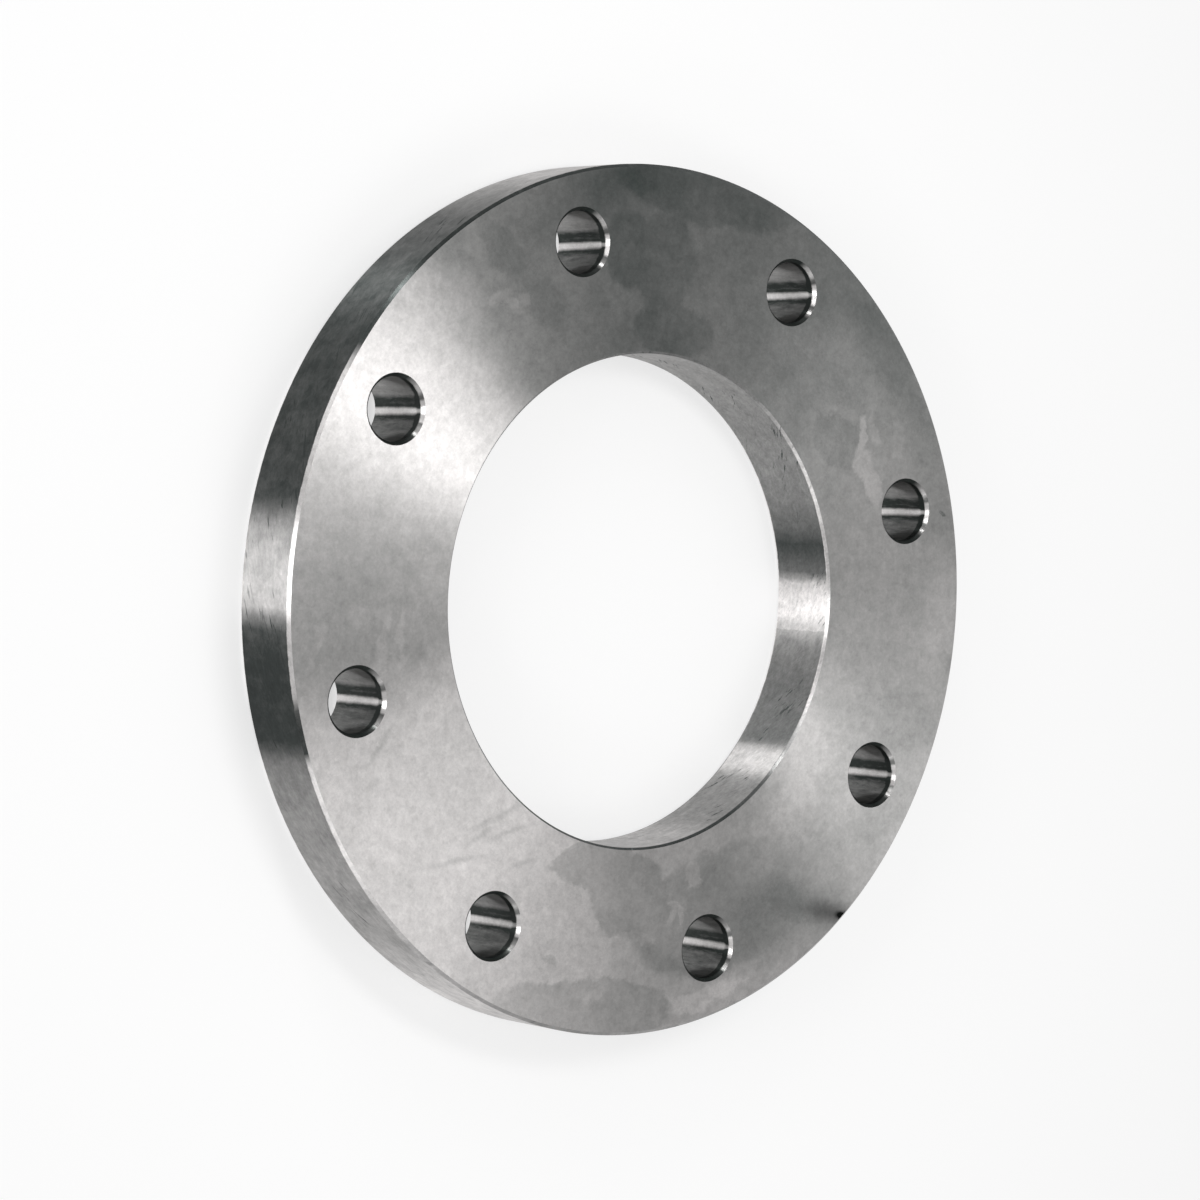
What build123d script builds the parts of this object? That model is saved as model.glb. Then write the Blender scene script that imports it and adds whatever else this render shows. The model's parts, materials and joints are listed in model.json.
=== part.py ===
from build123d import *
import os

# Lap joint flange: a loose backing ring that slips over a pipe's stub end and is bolted to its mate.
# The ring lies flat. Its bore axis is Z, and the middle of its lower face is the origin.
# All lengths are in millimetres and all angles in degrees.

# Turned ring
outside_diameter = 250.0
bore_diameter = 142.0
thickness = 23.0
rim_chamfer = 1.2
bore_chamfer = 1.0

# Drilled bolt holes, spread evenly and straddling the X and Y axes.
# Their circle is set by how far in from the rim their centres lie, which makes it 210 across.
bolt_count = 8
bolt_hole_diameter = 18.0
bolt_centre_to_rim = 20.0
bolt_hole_chamfer = 1.25

outside_radius = outside_diameter / 2
bore_radius = bore_diameter / 2
bolt_circle_radius = outside_radius - bolt_centre_to_rim
bolt_hole_radius = bolt_hole_diameter / 2
first_hole_angle = 180 / bolt_count

with BuildPart() as flange_ring:
    # Section of the plain ring: a rectangle with each of its corners broken at 45 degrees
    with BuildSketch(Plane.XZ) as ring_section:
        with Locations((bore_radius, 0)):
            Rectangle(outside_radius - bore_radius, thickness, align=(Align.MIN, Align.MIN))
        bore_corners = ring_section.vertices().group_by(Axis.X)[0]
        rim_corners = ring_section.vertices().group_by(Axis.X)[-1]
        chamfer(bore_corners, bore_chamfer)
        chamfer(rim_corners, rim_chamfer)
    revolve(axis=Axis.Z)

    # Bolt holes, drilled right through and deburred with a countersink on both faces
    with PolarLocations(bolt_circle_radius, bolt_count, start_angle=first_hole_angle):
        Hole(bolt_hole_radius)
    hole_rims = flange_ring.edges(Select.LAST).filter_by(GeomType.CIRCLE)
    chamfer(hole_rims, bolt_hole_chamfer)

flange_ring.part.label = "flange_ring"

os.makedirs("parts", exist_ok=True)
export_step(flange_ring.part, "parts/flange_ring.step")
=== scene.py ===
import json
import math

import bpy
from mathutils import Matrix, Vector


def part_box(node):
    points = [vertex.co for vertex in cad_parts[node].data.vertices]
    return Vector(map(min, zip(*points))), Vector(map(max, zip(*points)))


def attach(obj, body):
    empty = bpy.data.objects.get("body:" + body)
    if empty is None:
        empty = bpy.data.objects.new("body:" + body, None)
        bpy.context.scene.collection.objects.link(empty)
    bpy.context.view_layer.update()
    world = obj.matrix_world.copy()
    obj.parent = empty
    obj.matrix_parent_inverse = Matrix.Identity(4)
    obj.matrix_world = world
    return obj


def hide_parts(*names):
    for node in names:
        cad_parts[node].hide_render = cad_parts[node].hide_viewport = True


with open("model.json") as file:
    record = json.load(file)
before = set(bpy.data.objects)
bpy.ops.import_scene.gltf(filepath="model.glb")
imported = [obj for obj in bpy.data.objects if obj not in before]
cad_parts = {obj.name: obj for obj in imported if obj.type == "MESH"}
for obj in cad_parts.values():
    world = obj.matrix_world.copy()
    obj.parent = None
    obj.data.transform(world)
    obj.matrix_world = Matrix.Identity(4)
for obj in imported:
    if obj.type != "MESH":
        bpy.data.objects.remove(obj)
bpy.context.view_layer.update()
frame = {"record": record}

# Flange ring
# The real piece is a loose backing flange: one ring of mild steel, cut from plate, faced on both sides,
# turned on the rim, bored to slip over its pipe's stub end, then drilled for eight bolts and deburred.

MM = 0.001

lowest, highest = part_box("flange_ring")
mounts = {mount["name"]: mount["dims"] for mount in frame["record"]["mounts"]}
outside_radius = highest.x
thickness = highest.z - lowest.z
bore_radius = mounts["bore"]["r_mm"] * MM
bolt_circle_radius = mounts["bolts"]["pcd_mm"] / 2 * MM
bolt_count = mounts["bolts"]["count"]
bolt_hole_radius = mounts["bolts"]["hole_r_mm"] * MM
# The bevels are as wide as their bright lines look, which is about 30 percent narrower than the solid's.
rim_chamfer = 0.85 * MM
bore_chamfer = 0.65 * MM
bolt_hole_chamfer = 0.95 * MM


def add(tree, kind, inputs=(), out=0, **settings):
    """Adds a node with its settings, links or fills its inputs, and returns one of its outputs.

    The inputs are a list in the node's own order, or a dict by name or number.
    """
    node = tree.nodes.new(kind)
    for name, value in settings.items():
        setattr(node, name, value)
    for name, value in inputs.items() if isinstance(inputs, dict) else enumerate(inputs):
        if isinstance(value, bpy.types.NodeSocket):
            tree.links.new(value, node.inputs[name])
        else:
            node.inputs[name].default_value = value
    return node.outputs[out] if node.outputs else None


# The ring's shape is a node tree: a chamfered rectangle swept round a circle, less the bolt holes and nicks.
shape = bpy.data.node_groups.new("ring_shape", "GeometryNodeTree")
shape.interface.new_socket("Ring", in_out="OUTPUT", socket_type="NodeSocketGeometry")
sizes = {
    "Outside Radius": outside_radius, "Bore Radius": bore_radius, "Thickness": thickness,
    "Rim Chamfer": rim_chamfer, "Bore Chamfer": bore_chamfer, "Bolt Circle Radius": bolt_circle_radius,
    "Bolt Hole Radius": bolt_hole_radius, "Bolt Hole Chamfer": bolt_hole_chamfer,
}
for name in sizes:
    shape.interface.new_socket(name, in_out="INPUT", socket_type="NodeSocketFloat")
size = add(shape, "NodeGroupInput").node.outputs

# The blank: faced, turned and bored, with its corners broken.
ring_segments = 360
half_thickness = add(shape, "ShaderNodeMath", [size["Thickness"], 0.5], operation="MULTIPLY")
both_radii = add(shape, "ShaderNodeMath", [size["Outside Radius"], size["Bore Radius"]], operation="ADD")
middle_radius = add(shape, "ShaderNodeMath", [both_radii, 0.5], operation="MULTIPLY")
ring_width = add(shape, "ShaderNodeMath", [size["Outside Radius"], size["Bore Radius"]], operation="SUBTRACT")
section = add(shape, "GeometryNodeCurvePrimitiveQuadrilateral", {
    "Width": ring_width, "Height": size["Thickness"]})
across = add(shape, "ShaderNodeSeparateXYZ", [add(shape, "GeometryNodeInputPosition")], out="X")
rim_side = add(shape, "FunctionNodeCompare", {"A": across, "B": 0.0}, operation="GREATER_THAN")
corner = add(shape, "GeometryNodeSwitch", {
    "Switch": rim_side, "False": size["Bore Chamfer"], "True": size["Rim Chamfer"]}, input_type="FLOAT")
section = add(shape, "GeometryNodeFilletCurve", {"Curve": section, "Count": 1, "Radius": corner}, mode="POLY")
circle = add(shape, "GeometryNodeCurvePrimitiveCircle", {
    "Resolution": ring_segments, "Radius": middle_radius})
blank = add(shape, "GeometryNodeCurveToMesh", {"Curve": circle, "Profile Curve": section})
mid_height = add(shape, "ShaderNodeCombineXYZ", {"Z": half_thickness})
blank = add(shape, "GeometryNodeTransform", {"Geometry": blank, "Translation": mid_height})

# The drill: a column with three stretches, whose two ends flare at 45 degrees and run past the faces. It
# starts one unit high, so only the rows at its two ends are more than 0.4 from its middle.
hole_segments = 72
overrun = 2 * MM
end_rows_beyond = 0.4
drill = add(shape, "GeometryNodeMeshCylinder", {
    "Vertices": hole_segments, "Side Segments": 3, "Radius": 1.0, "Depth": 1.0})
row = add(shape, "GeometryNodeInputPosition")
row_height = add(shape, "ShaderNodeSeparateXYZ", [row], out="Z")
above_or_below = add(shape, "ShaderNodeMath", [row_height], operation="SIGN")
from_mid = add(shape, "ShaderNodeMath", [row_height], operation="ABSOLUTE")
at_end = add(shape, "ShaderNodeMath", [from_mid, end_rows_beyond], operation="GREATER_THAN")
flare = add(shape, "ShaderNodeMath", [size["Bolt Hole Chamfer"], overrun], operation="ADD")
flare = add(shape, "ShaderNodeMath", [at_end, flare], operation="MULTIPLY")
new_radius = add(shape, "ShaderNodeMath", [size["Bolt Hole Radius"], flare], operation="ADD")
end_height = add(shape, "ShaderNodeMath", [half_thickness, overrun], operation="ADD")
wall_height = add(shape, "ShaderNodeMath", [half_thickness, size["Bolt Hole Chamfer"]], operation="SUBTRACT")
rise = add(shape, "ShaderNodeMath", [end_height, wall_height], operation="SUBTRACT")
rise = add(shape, "ShaderNodeMath", [at_end, rise], operation="MULTIPLY")
new_height = add(shape, "ShaderNodeMath", [wall_height, rise], operation="ADD")
new_height = add(shape, "ShaderNodeMath", [new_height, above_or_below], operation="MULTIPLY")
widened = add(shape, "ShaderNodeCombineXYZ", {"X": new_radius, "Y": new_radius})
widened = add(shape, "ShaderNodeVectorMath", [row, widened], operation="MULTIPLY")
lengthened = add(shape, "ShaderNodeCombineXYZ", {"Z": new_height})
drill = add(shape, "GeometryNodeSetPosition", {
    "Geometry": drill,
    "Position": add(shape, "ShaderNodeVectorMath", [widened, lengthened], operation="ADD")})
bolt_circle = add(shape, "GeometryNodeMeshCircle", {
    "Vertices": bolt_count, "Radius": size["Bolt Circle Radius"]})
bolt_circle = add(shape, "GeometryNodeTransform", {
    "Geometry": bolt_circle, "Translation": mid_height, "Rotation": (0, 0, math.pi / bolt_count)})
drills = add(shape, "GeometryNodeInstanceOnPoints", {"Points": bolt_circle, "Instance": drill})
drills = add(shape, "GeometryNodeRealizeInstances", [drills])

# Nicks: small knocks along the rim's and the bore's edges, from handling. Each is turned at random, by up to
# so many radians about each axis.
nick_places = 260
nick_share = 0.12
nick_smallest = 0.25 * MM
nick_largest = 0.8 * MM
nick_turn = 3.0


def nicks(edge_radius, height, seed):
    """Little bites to take out of one round edge, at places that the seed picks."""
    edge = add(shape, "GeometryNodeMeshCircle", {"Vertices": nick_places, "Radius": edge_radius})
    edge_height = add(shape, "ShaderNodeCombineXYZ", {"Z": height})
    edge = add(shape, "GeometryNodeTransform", {"Geometry": edge, "Translation": edge_height})
    picked = add(shape, "FunctionNodeRandomValue", {"Probability": nick_share, "Seed": seed}, out=3,
                 data_type="BOOLEAN")
    width = add(shape, "FunctionNodeRandomValue", {
        2: nick_smallest, 3: nick_largest, "Seed": seed + 1}, out=1)
    turn = add(shape, "FunctionNodeRandomValue", {0: (0, 0, 0), 1: (nick_turn,) * 3, "Seed": seed + 2},
               data_type="FLOAT_VECTOR")
    bite = add(shape, "GeometryNodeMeshIcoSphere", {"Radius": 1.0, "Subdivisions": 1})
    bites = add(shape, "GeometryNodeInstanceOnPoints", {
        "Points": edge, "Selection": picked, "Instance": bite, "Rotation": turn, "Scale": width})
    return add(shape, "GeometryNodeRealizeInstances", [bites])


bites = add(shape, "GeometryNodeJoinGeometry")
for number, (edge_radius, height) in enumerate([
        (size["Outside Radius"], size["Thickness"]), (size["Outside Radius"], 0.0),
        (size["Bore Radius"], size["Thickness"]), (size["Bore Radius"], 0.0)]):
    shape.links.new(nicks(edge_radius, height, 10 * number), bites.node.inputs[0])

cut = blank
for cutters in (drills, bites):
    cut = add(shape, "GeometryNodeMeshBoolean", {"Mesh 1": cut, "Mesh 2": cutters},
              operation="DIFFERENCE", solver="EXACT")
cut = add(shape, "GeometryNodeSetShadeSmooth", {"Geometry": cut})
cut = add(shape, "GeometryNodeRealizeInstances", [cut])

# Finishes. Each cut leaves its own, so there are four, and each is bare steel darkened by a painted
# reflection.


def linear(hex_colour):
    """An sRGB hex colour as linear red, green, blue and alpha."""
    channels = [int(hex_colour[i:i + 2], 16) / 255 for i in (1, 3, 5)]
    return [c / 12.92 if c <= 0.04045 else ((c + 0.055) / 1.055) ** 2.4 for c in channels] + [1.0]


def steel(name):
    """A new material, its empty node tree, and its place on the ring: x, y and z in millimetres."""
    material = bpy.data.materials.new(name)
    material.use_nodes = True
    tree = material.node_tree
    tree.nodes.clear()
    place = add(tree, "ShaderNodeTexCoord", out="Object")
    place_mm = add(tree, "ShaderNodeVectorMath", {0: place, "Scale": 1 / MM}, operation="SCALE")
    return material, tree, place_mm


def grain(tree, place, size, detail, roughness, reach=1.0, base=0.0):
    """A base value made uneven at random, over the given reach, with features of a real size."""
    noise = add(tree, "ShaderNodeTexNoise", {
        "Vector": place, "Scale": 1 / size, "Detail": detail, "Roughness": roughness})
    uneven = add(tree, "ShaderNodeMath", [noise, 0.5], operation="SUBTRACT")
    return add(tree, "ShaderNodeMath", [uneven, reach, base], operation="MULTIPLY_ADD")


def wobble(tree, place, size, reach):
    """The place, shifted at random by up to about the given reach, so that edges drawn on it run ragged."""
    shift = add(tree, "ShaderNodeTexNoise", {
        "Vector": place, "Scale": 1 / size, "Detail": 5.0, "Roughness": 0.6}, out="Color")
    shift = add(tree, "ShaderNodeVectorMath", [shift, (0.5, 0.5, 0.5)], operation="SUBTRACT")
    return add(tree, "ShaderNodeVectorMath", [shift, (2 * reach,) * 3, place], operation="MULTIPLY_ADD")


def azimuth_of(tree, place):
    """The azimuth of a place about the Z axis, in degrees from 0 to 360."""
    sides = add(tree, "ShaderNodeSeparateXYZ", [place]).node.outputs
    turn = add(tree, "ShaderNodeMath", [sides["Y"], sides["X"]], operation="ARCTAN2")
    degrees = add(tree, "ShaderNodeMath", [turn], operation="DEGREES")
    return add(tree, "ShaderNodeMath", [degrees, 360.0], operation="FLOORED_MODULO")


def painted_reflection_round(tree, degrees, stops):
    """How dark the painted reflection is by azimuth: stops are (degrees, amount from 0 to 1), blended
    between.
    """
    turn = add(tree, "ShaderNodeMath", [degrees, 360.0], operation="DIVIDE")
    ramp = add(tree, "ShaderNodeValToRGB", [turn]).node
    places = ramp.color_ramp.elements
    while len(places) < len(stops):
        places.new(1.0)
    for place, (azimuth, amount) in zip(places, stops):
        place.position = azimuth / 360
        place.color = (amount, amount, amount, 1.0)
    return ramp.outputs[0]


def patch(tree, place, softness, ovals):
    """1 inside a group of ovals on the face, run together, and 0 outside, with an edge as soft as asked.

    The ovals run through the ring from one face to the other, so their half size in Z is endless.
    """
    far_off = 99.0
    endless = 1e6
    run_together = 0.1
    nearest = far_off
    for centre, half_size, turn in ovals:
        spot = add(tree, "ShaderNodeMapping", {
            "Vector": place, "Location": (*centre, 0), "Rotation": (0, 0, math.radians(turn)),
            "Scale": (*half_size, endless)}, vector_type="TEXTURE")
        away = add(tree, "ShaderNodeVectorMath", [spot], out="Value", operation="LENGTH")
        nearest = add(tree, "ShaderNodeMath", [away, nearest, run_together], operation="SMOOTH_MIN")
    return add(tree, "ShaderNodeMapRange", {
        "Value": nearest, "From Min": 1 - softness, "From Max": 1 + softness, "To Min": 1.0, "To Max": 0.0},
        interpolation_type="SMOOTHSTEP")


def finish_steel(tree, colour, shade, roughness, anisotropy, tangent, bump):
    """The metal shader at the end of a finish. Its colour is lightened or darkened by a shade near 1."""
    colour = add(tree, "ShaderNodeVectorMath", {0: colour, "Scale": shade}, operation="SCALE")
    shader = add(tree, "ShaderNodeBsdfPrincipled", {
        "Base Color": colour, "Metallic": 1.0, "Roughness": roughness,
        "Anisotropic": anisotropy, "Tangent": tangent, "Normal": bump})
    add(tree, "ShaderNodeOutputMaterial", {"Surface": shader})


# Faced steel: the two flat sides, cut by a tool fed inwards in one long spiral. The marks run round the ring,
# so a highlight smears across them into bands that point at the middle, like a record's. Over that, the
# colour is darkened by azimuth in a painted reflection of the room, darkest at one side, with ragged patches
# that are partly real stains and partly painted shade.
faced_steel, tree, place = steel("faced_steel")
bare_colour = linear("#DEDBDA")
# The dark colour serves both the painted reflection and the real stains.
reflection_and_stain_colour = linear("#5A605E")
edge_mark_colour = linear("#141615")
dark_patch_strength = 0.23
scratch_strength = 0.19
haze_strength = 0.56
wavy = wobble(tree, place, size=26.0, reach=8.0)
degrees = azimuth_of(tree, wavy)
# Painted reflection: the face is darker or lighter by azimuth, as the room's dark and bright parts would show
# in it.
amount = painted_reflection_round(tree, degrees, [
    (0, 0.42), (15, 0.43), (30, 0.47), (45, 0.60), (60, 0.69), (75, 0.70), (90, 0.70), (105, 0.77),
    (120, 0.66), (134, 0.56), (144, 0.25), (160, 0.16), (176, 0.36), (196, 0.44), (207, 0.14), (224, 0.10),
    (244, 0.06), (256, 0.04), (268, 0.07), (278, 0.18), (290, 0.26), (300, 0.36), (314, 0.46), (330, 0.40),
    (345, 0.46)])
ragged = wobble(tree, wobble(tree, place, size=12.0, reach=4.0), size=3.0, reach=1.6)
# Darker and lighter patches, partly real stains and partly painted shade, such as the first two at the top.
blotches_and_painted_shade = [
    # darkness, softness, and ovals: centre and half size in millimetres, and turn in degrees
    (0.10, 0.12, [((-9.0, 96.0), (10.5, 17.0), 0.0), ((-3.0, 77.5), (15.5, 7.5), 0.0),
                  ((4.0, 119.0), (34.0, 9.0), 0.0), ((-23.0, 98.0), (9.0, 11.0), 20.0)]),
    (0.07, 0.45, [((20.0, 119.0), (84.0, 24.0), -12.0)]),
    (0.09, 0.30, [((-68.0, 90.0), (10.0, 5.0), -35.0), ((-50.0, 78.0), (9.0, 6.0), -30.0)]),
    (-0.12, 0.35, [((-67.0, 77.0), (4.6, 2.0), 24.0), ((-62.0, 75.0), (4.0, 1.6), -20.0),
                   ((-58.5, 77.5), (2.2, 2.0), 60.0)]),
    (0.10, 0.50, [((-84.0, 84.0), (9.0, 6.0), -45.0)]),
    (0.06, 0.50, [((-46.0, 107.0), (28.0, 8.0), 24.0)]),
    (-0.08, 0.50, [((-78.0, 76.0), (5.0, 9.0), 40.0)]),
    (0.06, 0.12, [((66.0, 57.0), (9.5, 7.5), -20.0)]),
    (-0.08, 0.40, [((66.0, 65.0), (9.0, 1.6), -8.0)]),
    (-0.19, 0.20, [((76.3, 59.5), (1.7, 6.0), 8.0), ((77.8, 51.3), (5.4, 3.8), -50.0),
                   ((82.5, 46.0), (6.5, 3.4), -50.0)]),
    (-0.08, 0.40, [((80.0, 62.5), (1.4, 6.0), 25.0)]),
    (0.05, 0.30, [((84.0, 62.0), (4.0, 9.0), 10.0)]),
    (0.26, 0.60, [((113.2, 42.0), (0.7, 0.6), 0.0)]),
    (0.12, 0.60, [((108.0, 50.0), (8.0, 20.0), 24.0)]),
    (0.15, 0.60, [((84.0, 84.0), (8.0, 24.0), 45.0)]),
    (0.05, 0.60, [((100.0, -16.0), (13.0, 0.8), 8.0)]),
    (-0.06, 0.25, [((117.0, 8.0), (7.0, 21.0), 0.0)]),
    (-0.12, 0.60, [((67.0, -35.0), (11.0, 12.0), -20.0)]),
    (0.08, 0.50, [((107.0, -22.0), (10.0, 16.0), 0.0), ((102.0, -52.0), (8.0, 14.0), -25.0)]),
    (-0.05, 0.50, [((-106.0, -56.0), (6.0, 14.0), 26.0)]),
    (0.07, 0.60, [((-56.0, -54.0), (14.0, 12.0), 40.0)]),
    (0.11, 0.30, [((13.0, -103.0), (11.0, 7.5), 0.0), ((25.0, -106.0), (9.0, 5.0), 12.0)]),
    (0.03, 0.50, [((52.0, -80.0), (20.0, 11.0), -18.0)]),
    (0.06, 0.50, [((62.0, -86.0), (20.0, 10.0), 20.0)]),
    (-0.10, 0.50, [((60.0, -104.0), (26.0, 6.0), 34.0)]),
    (-0.18, 0.15, [((30.5, -75.5), (3.6, 4.2), 10.0)]),
    (-0.15, 0.25, [((26.5, -85.5), (3.6, 1.1), -15.0), ((25.0, -88.0), (1.1, 3.0), -30.0),
                   ((28.0, -88.0), (1.0, 2.8), 25.0)]),
    (-0.10, 0.30, [((1.0, -113.5), (4.0, 1.8), 20.0), ((12.0, -96.5), (9.0, 1.4), 4.0)]),
    (-0.17, 0.25, [((50.0, -106.0), (12.0, 3.6), 30.0), ((37.0, -113.5), (9.0, 2.6), 18.0)]),
    (0.18, 0.40, [((-18.0, -104.5), (3.2, 0.9), -25.0)]),
    (0.07, 0.30, [((-104.0, -26.0), (13.0, 16.0), 10.0), ((-92.0, -6.0), (10.0, 10.0), 30.0)]),
    (-0.10, 0.40, [((-90.5, -23.0), (1.5, 8.0), -4.0), ((-84.5, -22.0), (1.2, 7.0), 4.0),
                   ((-113.0, -27.0), (1.6, 7.0), -8.0), ((-100.0, -18.0), (4.0, 3.0), 0.0)]),
    (-0.10, 0.60, [((60.0, -62.0), (7.0, 22.0), -42.0)]),
    (0.16, 0.85, [((80.0, -81.5), (13.0, 5.0), -4.0)]),
]
for darkness, softness, ovals in blotches_and_painted_shade:
    blotch_and_shade = patch(tree, ragged, softness, ovals)
    amount = add(tree, "ShaderNodeMath", [blotch_and_shade, darkness, amount], operation="MULTIPLY_ADD")
# The dark patch at the bottom ends in a ragged edge on its left, and fades out on its right.
edge = patch(tree, ragged, 0.07, [
    ((-7.0, -76.5), (14.5, 7.0), 10.0), ((8.0, -85.0), (15.5, 12.5), -22.0),
    ((50.0, -85.0), (40.0, 20.0), 16.0), ((-4.0, -118.5), (34.0, 9.5), 3.0)])
fade = patch(tree, place, 0.45, [((10.0, -95.0), (58.0, 45.0), 0.0)])
dark_patch = add(tree, "ShaderNodeMath", [edge, fade], operation="MULTIPLY")
amount = add(tree, "ShaderNodeMath", [dark_patch, dark_patch_strength, amount], operation="MULTIPLY_ADD")
# Short scratches from sliding the ring over others.
scratches = patch(tree, wobble(tree, place, size=9.0, reach=1.8), 1.0, [
    ((-43.0, -66.0), (9.0, 0.8), 30.0), ((-38.0, -70.0), (6.0, 0.7), 22.0),
    ((-49.0, -72.0), (5.0, 0.7), 36.0), ((-56.0, -80.0), (8.0, 0.7), 14.0),
    ((-33.0, -79.0), (5.0, 0.7), 24.0), ((-88.0, -52.0), (5.0, 0.7), 60.0)])
amount = add(tree, "ShaderNodeMath", [scratches, scratch_strength, amount], operation="MULTIPLY_ADD")
amount = grain(tree, ragged, size=20.0, detail=9.0, roughness=0.72, reach=0.46, base=amount)
colour = add(tree, "ShaderNodeMix", {"Factor": amount, "A": bare_colour, "B": reflection_and_stain_colour}, out="Result",
             data_type="RGBA")
# A dark mark at one place on the edge, black at the rim and fading inwards.
mark_place = wobble(tree, place, size=3.0, reach=0.7)
haze = patch(tree, mark_place, 0.9, [((88.0, -83.0), (8.5, 2.8), -4.0)])
core = patch(tree, mark_place, 0.9, [((93.4, -83.5), (3.0, 1.2), -6.0)])
edge_mark = add(tree, "ShaderNodeMath", [haze, haze_strength, core], operation="MULTIPLY_ADD")
colour = add(tree, "ShaderNodeMix", {"Factor": edge_mark, "A": colour, "B": edge_mark_colour}, out="Result",
             data_type="RGBA")
# The tool marks are about 0.2 mm apart on a real face, too fine to show, so they are drawn at 0.5 mm. Their
# pattern is stretched round the ring, by so many degrees for each of its millimetres.
mark_stretch = 12.0
mark_shade = 0.14
level = add(tree, "ShaderNodeVectorMath", [wavy, (1, 1, 0)], operation="MULTIPLY")
radius = add(tree, "ShaderNodeVectorMath", [level], out="Value", operation="LENGTH")
round_turn = add(tree, "ShaderNodeMath", [degrees, mark_stretch], operation="DIVIDE")
marks = add(tree, "ShaderNodeCombineXYZ", {"X": radius, "Y": round_turn})
tool_marks = grain(tree, marks, size=0.5, detail=3.0, roughness=0.7)
shade = grain(tree, wobble(tree, place, size=2.0, reach=1.2), size=3.2, detail=7.0, roughness=0.78,
              reach=0.75, base=1.0)
shade = grain(tree, place, size=0.9, detail=2.0, roughness=0.6, reach=0.28, base=shade)
shade = add(tree, "ShaderNodeMath", [tool_marks, mark_shade, shade], operation="MULTIPLY_ADD")
outward = add(tree, "ShaderNodeVectorMath", [place, (1, 1, 0)], operation="MULTIPLY")
tangent = add(tree, "ShaderNodeVectorMath", [outward], operation="NORMALIZE")
bump = add(tree, "ShaderNodeBump", {"Height": tool_marks, "Strength": 0.15, "Distance": 0.1 * MM})
finish_steel(tree, colour, shade, roughness=0.46, anisotropy=0.90, tangent=tangent, bump=bump)


# The walls of the rim, the bore and the holes are finished in one way, each darkened by azimuth with its own
# painted reflection, and its bevels with their own painted highlight lines. The paint of a bevel starts and
# is full at depths in millimetres below a face. The slant is a rise for each millimetre round the wall, and
# flecks and streaks are so many times longer than wide. The tool marks are stretched as on the faces.
wall_bare_colour = linear("#EFECEB")
bevel_paint_starts = 1.1
bevel_paint_full = 0.7
bevel_roughness = 0.30
cloud_limit = 1.35
slant_rise = -0.35
fleck_stretch = 7.0
streak_stretch = 2.6
streak_lean = 0.5
wall_mark_stretch = 9.0


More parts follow.
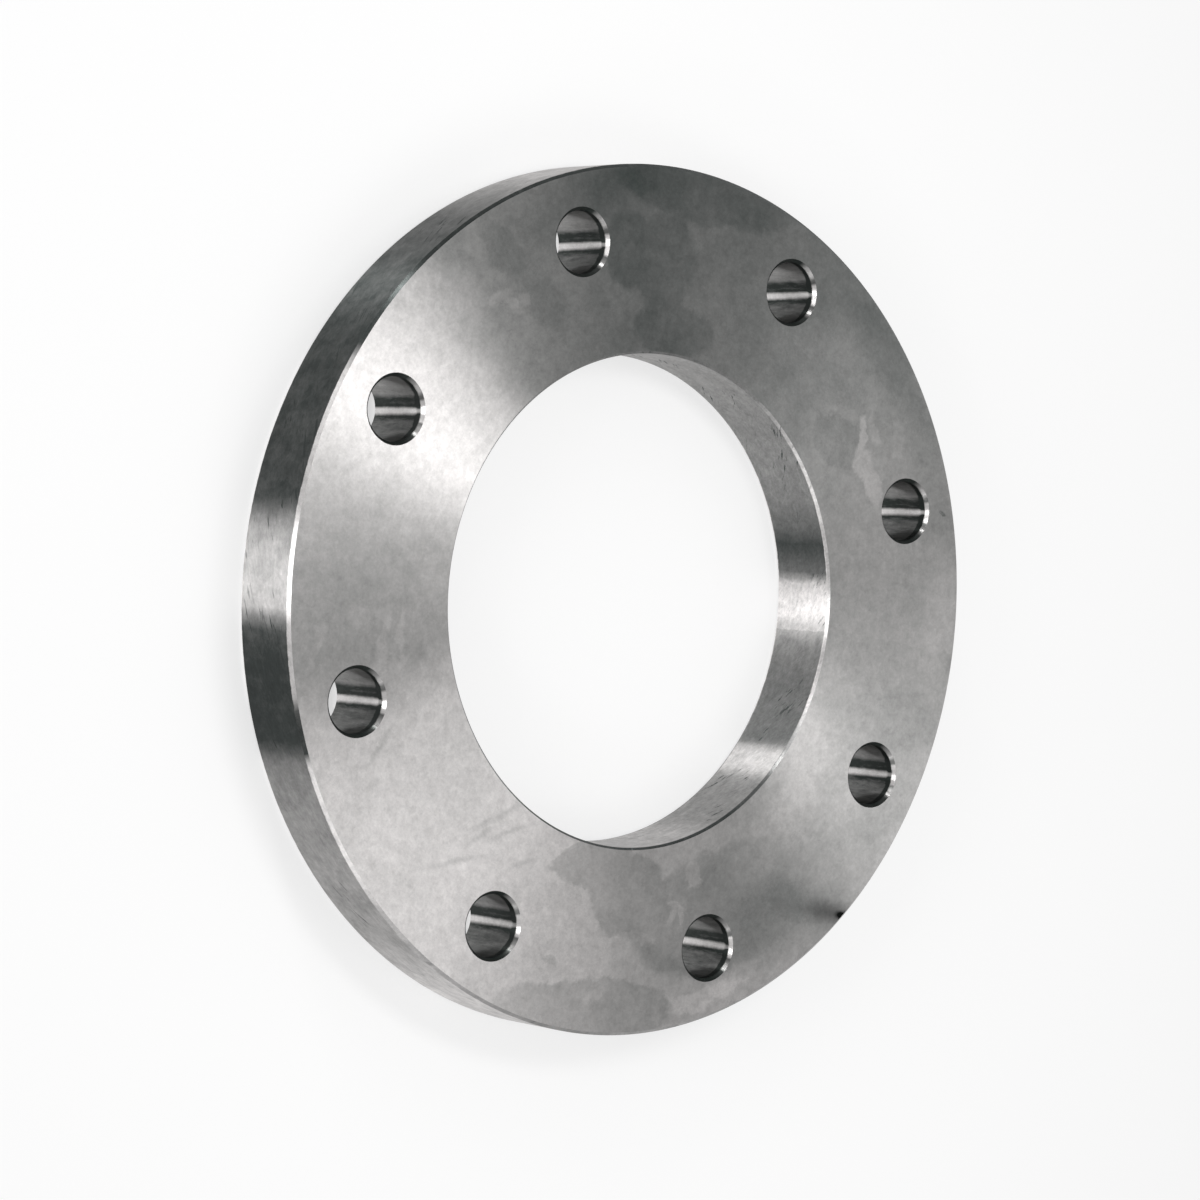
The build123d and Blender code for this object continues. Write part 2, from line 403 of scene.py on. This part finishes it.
def wall_steel(tree, place, degrees, wall_painted_reflection, bevel_painted_reflection, reflection_and_stain_colour, cloud, streak, fleck, roughness):
    """The finish of a wall whose tool marks run round it: painted reflection by azimuth, with its own on the
    bevels.
    """
    height = add(tree, "ShaderNodeSeparateXYZ", [place], out="Z")
    slope = add(tree, "ShaderNodeSeparateXYZ", [wobble(tree, place, size=2.0, reach=0.3)], out="Z")
    mid_height = thickness / MM / 2
    from_mid = add(tree, "ShaderNodeMath", [slope, mid_height], operation="SUBTRACT")
    from_mid = add(tree, "ShaderNodeMath", [from_mid], operation="ABSOLUTE")
    on_bevel = add(tree, "ShaderNodeMapRange", {
        "Value": from_mid, "From Min": mid_height - bevel_paint_starts,
        "From Max": mid_height - bevel_paint_full}, interpolation_type="SMOOTHSTEP")
    amount = add(tree, "ShaderNodeMix", {
        "Factor": on_bevel, "A": wall_painted_reflection, "B": painted_reflection_round(tree, degrees, bevel_painted_reflection)})
    # Clouds in the painted darkening show least where it is darkest.
    clouds = grain(tree, wobble(tree, place, size=5.0, reach=2.0), size=6.0, detail=8.0, roughness=0.74,
                   reach=cloud)
    room_for_clouds = add(tree, "ShaderNodeMath", [cloud_limit, amount], operation="SUBTRACT")
    amount = add(tree, "ShaderNodeMath", [clouds, room_for_clouds, amount], operation="MULTIPLY_ADD")
    # Dark flecks lie in groups, long and thin, at a slant to the tool marks.
    along = add(tree, "ShaderNodeMath", [degrees, outside_radius / MM * math.pi / 180], operation="MULTIPLY")
    slant = add(tree, "ShaderNodeMath", [along, slant_rise, height], operation="MULTIPLY_ADD")
    fleck_length = add(tree, "ShaderNodeMath", [along, fleck_stretch], operation="DIVIDE")
    drawn_out = add(tree, "ShaderNodeCombineXYZ", {"X": fleck_length, "Y": slant})
    flecks = add(tree, "ShaderNodeMapRange", {
        "Value": grain(tree, drawn_out, size=1.3, detail=3.0, roughness=0.6),
        "From Min": 0.07, "From Max": 0.19, "To Max": fleck}, interpolation_type="SMOOTHSTEP")
    groups = add(tree, "ShaderNodeMapRange", {
        "Value": grain(tree, place, size=14.0, detail=2.0, roughness=0.5),
        "From Min": 0.0, "From Max": 0.10}, interpolation_type="SMOOTHSTEP")
    amount = add(tree, "ShaderNodeMath", [flecks, groups, amount], operation="MULTIPLY_ADD")
    colour = add(tree, "ShaderNodeMix", {
        "Factor": amount, "A": wall_bare_colour, "B": reflection_and_stain_colour}, out="Result", data_type="RGBA")
    # Streaks, mottling and tool marks are all finer on a real wall, and drawn 1 to 3 mm wide so as to show.
    streak_length = add(tree, "ShaderNodeMath", [height, streak_lean, along], operation="MULTIPLY_ADD")
    streak_length = add(tree, "ShaderNodeMath", [streak_length, streak_stretch], operation="DIVIDE")
    slanted = add(tree, "ShaderNodeCombineXYZ", {"X": streak_length, "Y": slant})
    shade = grain(tree, slanted, size=1.1, detail=5.0, roughness=0.75, reach=streak, base=1.0)
    shade = grain(tree, wobble(tree, place, size=2.0, reach=1.2), size=2.6, detail=6.0, roughness=0.78,
                  reach=streak, base=shade)
    round_turn = add(tree, "ShaderNodeMath", [degrees, wall_mark_stretch], operation="DIVIDE")
    marks = add(tree, "ShaderNodeCombineXYZ", {"X": height, "Y": round_turn})
    tool_marks = grain(tree, marks, size=2.4, detail=6.0, roughness=0.70)
    shade = add(tree, "ShaderNodeMath", [tool_marks, 0.5 * streak, shade], operation="MULTIPLY_ADD")
    gloss = add(tree, "ShaderNodeMapRange", {
        "Value": on_bevel, "To Min": roughness, "To Max": bevel_roughness})
    tangent = add(tree, "ShaderNodeCombineXYZ", {"Z": 1.0})
    bump = add(tree, "ShaderNodeBump", {"Height": tool_marks, "Strength": 0.2, "Distance": 0.1 * MM})
    finish_steel(tree, colour, shade, gloss, anisotropy=1.0, tangent=tangent, bump=bump)


# Turned steel: the rim, bright across its tool marks, with long dark bands round it that are a painted
# reflection.
rim_steel, tree, place = steel("turned_rim_steel")
degrees = azimuth_of(tree, wobble(tree, place, size=4.0, reach=0.9))
# Painted reflection: the rim is darkened in bands round it, where it would show the room's dark parts.
wall_painted_reflection = painted_reflection_round(tree, degrees, [
    (0, 0.4), (40, 0.55), (100, 0.28), (114, 0.30), (121, 0.58), (129, 0.84), (140, 0.95), (150, 0.98),
    (175, 0.95), (178, 0.62), (184, 0.50), (188.5, 0.42), (190.5, 0.92), (194, 1.0), (206, 1.0), (208, 0.74),
    (213, 0.62), (222, 0.58), (236, 0.52), (250, 0.16), (270, 0.4), (300, 0.75), (330, 0.4)])
# Painted reflection on the rim's bevels: bare and bright where their lines catch the light, dark elsewhere.
bevel_painted_reflection = [
    (0, 0.7), (36, 0.8), (56, 1.0), (153, 1.0), (157, 0.25), (161, 0.1), (166, 0.0), (199, 0.0),
    (201, 0.9), (207, 1.0), (208.5, 0.0), (222, 0.0), (230, 0.3), (260, 0.6)]
wall_steel(tree, place, degrees, wall_painted_reflection, bevel_painted_reflection, linear("#464A49"), cloud=0.75, streak=0.68,
           fleck=0.3, roughness=0.47)

# Bored steel: the wall of the bore, darkened round it by a painted reflection, with a few narrow bright bands
# that are painted highlights, and dark flecks.
bored_steel, tree, place = steel("bored_steel")
degrees = azimuth_of(tree, wobble(tree, place, size=4.0, reach=0.9))
# Painted reflection: the bore is darkened round it, except narrow bands left bare as painted highlights.
wall_painted_reflection = painted_reflection_round(tree, degrees, [
    (1.5, 0.32), (4, 0.0), (11, 0.0), (13.5, 0.82), (21, 1.0), (25, 0.84), (33, 0.72), (60, 0.68), (90, 0.54),
    (180, 0.55), (262, 0.50), (285, 0.34), (294, 0.36), (302, 0.58), (316, 0.62), (319, 0.62), (322, 0.38),
    (328.5, 0.38), (331, 0.84), (345, 0.80), (357, 0.66), (359, 0.50)])
# Painted reflection on the bore's bevels, by azimuth.
bevel_painted_reflection = [
    (0, 0.0), (36, 0.15), (50, 0.45), (64, 0.7), (100, 0.8), (180, 0.8), (225, 0.95), (305, 1.0),
    (318, 0.9), (335, 0.6), (347, 0.1)]
wall_steel(tree, place, degrees, wall_painted_reflection, bevel_painted_reflection, linear("#545857"), cloud=0.50, streak=0.90,
           fleck=0.6, roughness=0.47)

# Drilled steel: the bolt holes, darkened with painted shade and reflection, with a painted highlight, a
# bright strip, on one side of each. Each place is measured from the centre of its own hole.
drilled_steel, tree, place = steel("drilled_steel")
highlight_spread = -0.12
front_dark_starts = 3.4
front_dark_full = 2.0
spacing = 360.0 / bolt_count
degrees = azimuth_of(tree, place)
hole_number = add(tree, "ShaderNodeMath", [degrees, spacing], operation="DIVIDE")
hole_number = add(tree, "ShaderNodeMath", [hole_number], operation="CEIL")
hole_number = add(tree, "ShaderNodeMath", [hole_number, 0.5], operation="SUBTRACT")
turn = add(tree, "ShaderNodeMath", [hole_number, math.radians(spacing)], operation="MULTIPLY")
hole_centre = add(tree, "ShaderNodeCombineXYZ", {
    "X": add(tree, "ShaderNodeMath", [turn], operation="COSINE"),
    "Y": add(tree, "ShaderNodeMath", [turn], operation="SINE")})
hole_centre = add(tree, "ShaderNodeVectorMath", {0: hole_centre, "Scale": bolt_circle_radius / MM},
                  operation="SCALE")
from_centre = add(tree, "ShaderNodeVectorMath", [wobble(tree, place, size=3.0, reach=0.3), hole_centre],
                  operation="SUBTRACT")
degrees = azimuth_of(tree, from_centre)
# Painted shade and reflection: each hole's wall is darkened by azimuth round its own centre.
wall_painted_reflection = painted_reflection_round(tree, degrees, [
    (0, 1.0), (12, 1.0), (28, 1.0), (36, 0.70), (60, 0.62), (95, 0.70), (122, 0.97), (230, 0.95), (255, 0.85),
    (262, 0.68), (270, 0.96), (300, 0.86), (345, 0.84), (354, 1.0)])
# The painted highlight strip is wider towards the back, by part of a degree for each millimetre. Near the
# front face, between two depths in millimetres, the wall is darkened again over it.
height = add(tree, "ShaderNodeSeparateXYZ", [wobble(tree, place, size=4.0, reach=1.0)], out="Z")
side = add(tree, "ShaderNodeMath", [degrees, 180.0, -180.0], operation="WRAP")
above_highlight = add(tree, "ShaderNodeMapRange", {
    "Value": side, "From Min": 7.0, "From Max": 14.0}, interpolation_type="SMOOTHSTEP")
lower_side = add(tree, "ShaderNodeMath", [height, highlight_spread, side], operation="MULTIPLY_ADD")
below_highlight = add(tree, "ShaderNodeMapRange", {
    "Value": lower_side, "From Min": -6.0, "From Max": 2.5, "To Min": 1.0, "To Max": 0.0},
    interpolation_type="SMOOTHSTEP")
lines = add(tree, "ShaderNodeCombineXYZ", {"X": side, "Y": height, "Z": hole_number})
wall_painted_reflection = grain(tree, lines, size=7.0, detail=4.0, roughness=0.7, reach=0.45, base=wall_painted_reflection)
off_highlight = add(tree, "ShaderNodeMath", [above_highlight, below_highlight], operation="MAXIMUM")
wall_painted_reflection = add(tree, "ShaderNodeMath", [wall_painted_reflection, off_highlight], operation="MULTIPLY")
darker_near_front = add(tree, "ShaderNodeMapRange", {
    "Value": height, "From Min": thickness / MM - front_dark_starts, "From Max": thickness / MM - front_dark_full,
    "To Min": 0.0, "To Max": 0.5}, interpolation_type="SMOOTHSTEP")
wall_painted_reflection = add(tree, "ShaderNodeMath", [wall_painted_reflection, darker_near_front], operation="ADD", use_clamp=True)
# Painted reflection on the holes' bevels: bare and bright only on the side near azimuth 0.
bevel_painted_reflection = [
    (0, 0.0), (22, 0.0), (26, 0.85), (33, 0.80), (40, 0.45), (58, 0.6), (75, 1.0), (290, 1.0),
    (318, 0.95), (327, 0.6), (336, 0.6), (344, 0.85), (348, 0.0)]
wall_steel(tree, place, degrees, wall_painted_reflection, bevel_painted_reflection, linear("#363B39"), cloud=0.30, streak=0.60,
           fleck=0.0, roughness=0.33)

# The shape's last step. Each face gets the finish of the cut that made it, which shows in where it lies: the
# flat ones are faced, those within three bevel widths of the rim or bore are turned or bored, and the rest
# are drilled.
flat_from = 0.99
bevel_widths = 3.0
facing = add(shape, "ShaderNodeSeparateXYZ", [add(shape, "GeometryNodeInputNormal")], out="Z")
facing = add(shape, "ShaderNodeMath", [facing], operation="ABSOLUTE")
flat = add(shape, "FunctionNodeCompare", {"A": facing, "B": flat_from}, operation="GREATER_THAN")
from_axis = add(shape, "ShaderNodeVectorMath", [add(shape, "GeometryNodeInputPosition"), (1, 1, 0)],
                operation="MULTIPLY")
from_axis = add(shape, "ShaderNodeVectorMath", [from_axis], out="Value", operation="LENGTH")
rim_reach = add(shape, "ShaderNodeMath", [size["Rim Chamfer"], -bevel_widths, size["Outside Radius"]],
                operation="MULTIPLY_ADD")
on_rim = add(shape, "FunctionNodeCompare", {"A": from_axis, "B": rim_reach}, operation="GREATER_THAN")
bore_reach = add(shape, "ShaderNodeMath", [size["Bore Chamfer"], bevel_widths, size["Bore Radius"]],
                 operation="MULTIPLY_ADD")
in_bore = add(shape, "FunctionNodeCompare", {"A": from_axis, "B": bore_reach}, operation="LESS_THAN")
for chosen, finish in [
        (True, drilled_steel), (on_rim, rim_steel), (in_bore, bored_steel), (flat, faced_steel)]:
    cut = add(shape, "GeometryNodeSetMaterial", {"Geometry": cut, "Selection": chosen, "Material": finish})
add(shape, "NodeGroupOutput", {"Ring": cut})

maker = bpy.data.objects.new("ring_maker", bpy.data.meshes.new("ring_maker"))
bpy.context.scene.collection.objects.link(maker)
modifier = maker.modifiers.new("ring_shape", "NODES")
modifier.node_group = shape
for item in shape.interface.items_tree:
    if item.in_out == "INPUT":
        modifier[item.identifier] = sizes[item.name]
bpy.context.view_layer.update()
evaluated = maker.evaluated_get(bpy.context.evaluated_depsgraph_get())
mesh = bpy.data.meshes.new_from_object(evaluated)
mesh.name = "turned_ring"
mesh.set_sharp_from_angle(angle=math.radians(12))
bpy.data.objects.remove(maker)
ring = bpy.data.objects.new("turned_ring", mesh)
bpy.context.scene.collection.objects.link(ring)
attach(ring, "root")
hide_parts("flange_ring")

# Floor
# A plain pale sheet that the flange lies on. It isn't part of the object. To the camera it is partly white
# by itself, so that its shadow is faint, and in the metal and through glass it is all white.
floor_half = 6.0
own_white = 0.6
floor_mesh = bpy.data.meshes.new("floor")
floor_mesh.from_pydata(
    [(-floor_half, -floor_half, 0), (floor_half, -floor_half, 0), (floor_half, floor_half, 0),
     (-floor_half, floor_half, 0)], [], [(0, 1, 2, 3)])
floor = bpy.data.objects.new("floor", floor_mesh)
bpy.context.scene.collection.objects.link(floor)
pale_paper = bpy.data.materials.new("pale_paper")
pale_paper.use_nodes = True
tree = pale_paper.node_tree
tree.nodes.clear()
paper = add(tree, "ShaderNodeBsdfDiffuse", {"Color": linear("#FAFAFA")})
white = add(tree, "ShaderNodeEmission", {"Color": linear("#FFFFFF"), "Strength": 1.0})
ray = add(tree, "ShaderNodeLightPath").node.outputs
to_camera = add(tree, "ShaderNodeMath", [ray["Is Camera Ray"], own_white], operation="MULTIPLY")
to_metal_or_glass = add(tree, "ShaderNodeMath", [ray["Is Glossy Ray"], ray["Is Transmission Ray"]],
                        operation="MAXIMUM")
whiteness = add(tree, "ShaderNodeMath", [to_camera, to_metal_or_glass], operation="MAXIMUM")
paper = add(tree, "ShaderNodeMixShader", [whiteness, paper, white])
add(tree, "ShaderNodeOutputMaterial", {"Surface": paper})
floor_mesh.materials.append(pale_paper)

# Studio light
# Soft panels close round the flange, in a plainly lit room. Each panel is turned to face what it lights.
# The points that they face are in millimetres, and their own sizes and distances in metres.
world = bpy.data.worlds.new("studio")
bpy.context.scene.world = world
world.use_nodes = True
tree = world.node_tree
tree.nodes.clear()
room = add(tree, "ShaderNodeBackground", {"Color": linear("#FFFFFF"), "Strength": 0.52})
add(tree, "ShaderNodeOutputWorld", {"Surface": room})


def direction(azimuth, elevation):
    """The unit vector towards an azimuth and an elevation in degrees."""
    azimuth, elevation = math.radians(azimuth), math.radians(elevation)
    level = math.cos(elevation)
    return Vector((level * math.cos(azimuth), level * math.sin(azimuth), math.sin(elevation)))


def panel(name, aim, azimuth, elevation, distance, width, length, long_way, brightness):
    """A soft panel at a distance from the point that it faces. Its long sides point to azimuth long_way."""
    lamp = bpy.data.lights.new(name, "AREA")
    lamp.shape = "RECTANGLE"
    lamp.size = width
    lamp.size_y = length
    lamp.energy = brightness * math.pi * width * length
    obj = bpy.data.objects.new(name, lamp)
    bpy.context.scene.collection.objects.link(obj)
    away = direction(azimuth, elevation)
    side = direction(long_way, 0).cross(away).normalized()
    turned = Matrix((side, away.cross(side), away)).transposed().to_4x4()
    obj.matrix_world = Matrix.Translation(Vector(aim) * MM + away * distance) @ turned
    obj.visible_camera = False


panel("band_panel", aim=(-90, 38, 23), azimuth=59.7, elevation=72.9, distance=0.6,
      width=0.12, length=0.35, long_way=157, brightness=8.0)
panel("glow_panel", aim=(-60, -70, 23), azimuth=319.9, elevation=62.8, distance=0.5,
      width=0.25, length=0.25, long_way=230, brightness=2.0)
panel("rim_panel", aim=(0, 0, 0), azimuth=183, elevation=14, distance=1.2,
      width=0.34, length=0.8, long_way=183, brightness=5.0)
panel("bore_panel", aim=(0, 0, 0), azimuth=119, elevation=15, distance=1.2,
      width=0.10, length=0.8, long_way=119, brightness=12.0)
panel("edge_panel", aim=(-105, -70, 23), azimuth=243, elevation=32, distance=1.2,
      width=0.14, length=0.7, long_way=333, brightness=3.0)

# Camera
# It looks down at the flange from the side that the photo shows, and lies on its own side, so that the
# flange stands upright in the picture.
camera_aim = Vector((1.78, -0.46, 0.0)) * MM
camera_azimuth = 184.283
camera_elevation = 50.525
camera_roll = 94.113
camera_distance = 1184.14 * MM
camera_data = bpy.data.cameras.new("camera")
camera_data.sensor_width = 36.0
camera_data.lens = 121.8
camera_data.clip_start = 0.01
camera = bpy.data.objects.new("camera", camera_data)
bpy.context.scene.collection.objects.link(camera)
camera.matrix_world = (
    Matrix.Translation(camera_aim + direction(camera_azimuth, camera_elevation) * camera_distance)
    @ Matrix.Rotation(math.radians(90 + camera_azimuth), 4, "Z")
    @ Matrix.Rotation(math.radians(90 - camera_elevation), 4, "X")
    @ Matrix.Rotation(math.radians(camera_roll), 4, "Z"))
bpy.context.scene.camera = camera
bpy.context.scene.view_settings.view_transform = "Standard"
